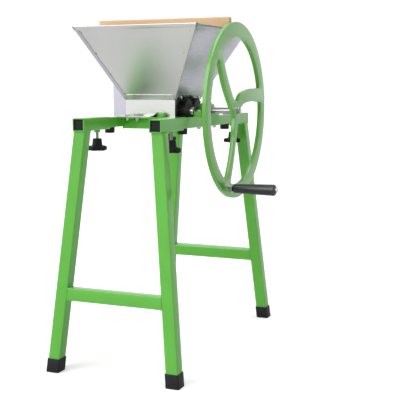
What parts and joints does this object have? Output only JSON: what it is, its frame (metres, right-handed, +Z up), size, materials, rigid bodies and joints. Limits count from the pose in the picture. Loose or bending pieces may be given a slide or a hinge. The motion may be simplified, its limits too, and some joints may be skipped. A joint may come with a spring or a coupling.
{
  "type": "apple scratter",
  "caption": "Hand cranked fruit crusher: stainless hopper over toothed rollers, green flywheel crank, on a clamped green tube stand.",
  "frame": {"origin": "on the floor, under the middle of the whole object", "axes": "+Z up, +X towards the crank wheel's side, -Y towards the side seen in the picture"},
  "size_m": [0.4962, 0.6888, 0.8425],
  "materials": {
    "green_paint": "gloss",
    "wheel_paint": "gloss",
    "stainless_sheet": "satin",
    "stainless_cutters": "satin",
    "bright_steel": "polished",
    "zinc_steel": "satin",
    "black_iron": "matte",
    "bronze": "satin",
    "white_polymer": "matte",
    "black_plastic": "matte",
    "grip_plastic": "gloss",
    "black_rubber": "matte",
    "beech": "bare"
  },
  "bodies": {
    "stand": {"leg_front_left": "green_paint", "sleeve_front_left": "green_paint", "leg_front_right": "green_paint", "sleeve_front_right": "green_paint", "stretcher_front": "green_paint", "sleeve_plugs_front": "black_plastic", "foot_caps_front": "black_rubber", "crossbar_front": "green_paint", "housing_front": "stainless_sheet", "hopper_front": "stainless_sheet", "leg_rear_left": "green_paint", "sleeve_rear_left": "green_paint", "leg_rear_right": "green_paint", "sleeve_rear_right": "green_paint", "stretcher_rear": "green_paint", "sleeve_plugs_rear": "black_plastic", "foot_caps_rear": "black_rubber", "crossbar_rear": "green_paint", "housing_rear": "stainless_sheet", "hopper_rear": "stainless_sheet", "rail_left": "green_paint", "housing_left": "stainless_sheet", "hopper_left": "stainless_sheet", "rail_right": "green_paint", "housing_right": "stainless_sheet", "hopper_right": "stainless_sheet", "rail_feet": "black_rubber", "bearing_guard": "stainless_sheet", "housing_bolts": "zinc_steel", "guard_screws": "zinc_steel", "hopper_screws": "zinc_steel", "roller_bushes": "white_polymer", "bearing_base": "green_paint", "bearing_cap": "green_paint", "bearing_bush": "bronze", "bearing_bolts": "zinc_steel", "cap_screws": "zinc_steel"},
    "drive_line": {"drive_shaft": "bright_steel", "drive_roller": "stainless_cutters", "drive_gear": "black_iron", "flywheel": "wheel_paint", "hub_washer": "zinc_steel", "hub_bolt": "zinc_steel", "handle_spindle": "zinc_steel", "handle_nut": "zinc_steel"},
    "driven_line": {"driven_shaft": "bright_steel", "driven_roller": "stainless_cutters", "driven_gear": "black_iron"},
    "grip": {"handle_grip": "grip_plastic"},
    "pusher": {"pusher_bar": "beech"},
    "clamp_front_left": {"clamp_knob_front_left": "black_plastic", "clamp_stud_front_left": "zinc_steel"},
    "clamp_front_right": {"clamp_knob_front_right": "black_plastic", "clamp_stud_front_right": "zinc_steel"},
    "clamp_rear_left": {"clamp_knob_rear_left": "black_plastic", "clamp_stud_rear_left": "zinc_steel"},
    "clamp_rear_right": {"clamp_knob_rear_right": "black_plastic", "clamp_stud_rear_right": "zinc_steel"}
  },
  "joints": [
    {"name": "crank_spin", "type": "hinge", "parent": "stand", "child": "drive_line", "pos_m": [0.0404, 0.014, 0.6125], "axis": [1, 0, 0], "continuous": true},
    {"name": "driven_roller_spin", "type": "hinge", "parent": "stand", "child": "driven_line", "pos_m": [0.0404, -0.0435, 0.6125], "axis": [1, 0, 0], "continuous": true},
    {"name": "grip_spin", "type": "hinge", "parent": "drive_line", "child": "grip", "pos_m": [0.1829, -0.04653, 0.42283], "axis": [1, 0, 0], "continuous": true},
    {"name": "pusher_lift", "type": "slide", "parent": "stand", "child": "pusher", "axis": [0, 0, 1], "range_m": [0, 0.12]},
    {"name": "clamp_front_left_turn", "type": "hinge", "parent": "stand", "child": "clamp_front_left", "pos_m": [-0.1546, -0.21, 0.54], "axis": [0, 0, 1], "range_deg": [-360, 0]},
    {"name": "clamp_front_right_turn", "type": "hinge", "parent": "stand", "child": "clamp_front_right", "pos_m": [0.0404, -0.21, 0.54], "axis": [0, 0, 1], "range_deg": [-360, 0]},
    {"name": "clamp_rear_left_turn", "type": "hinge", "parent": "stand", "child": "clamp_rear_left", "pos_m": [-0.1546, 0.21, 0.54], "axis": [0, 0, 1], "range_deg": [-360, 0]},
    {"name": "clamp_rear_right_turn", "type": "hinge", "parent": "stand", "child": "clamp_rear_right", "pos_m": [0.0404, 0.21, 0.54], "axis": [0, 0, 1], "range_deg": [-360, 0]}
  ],
  "couplings": [
    {"joint": "driven_roller_spin", "follows": "crank_spin", "ratio": -1}
  ]
}
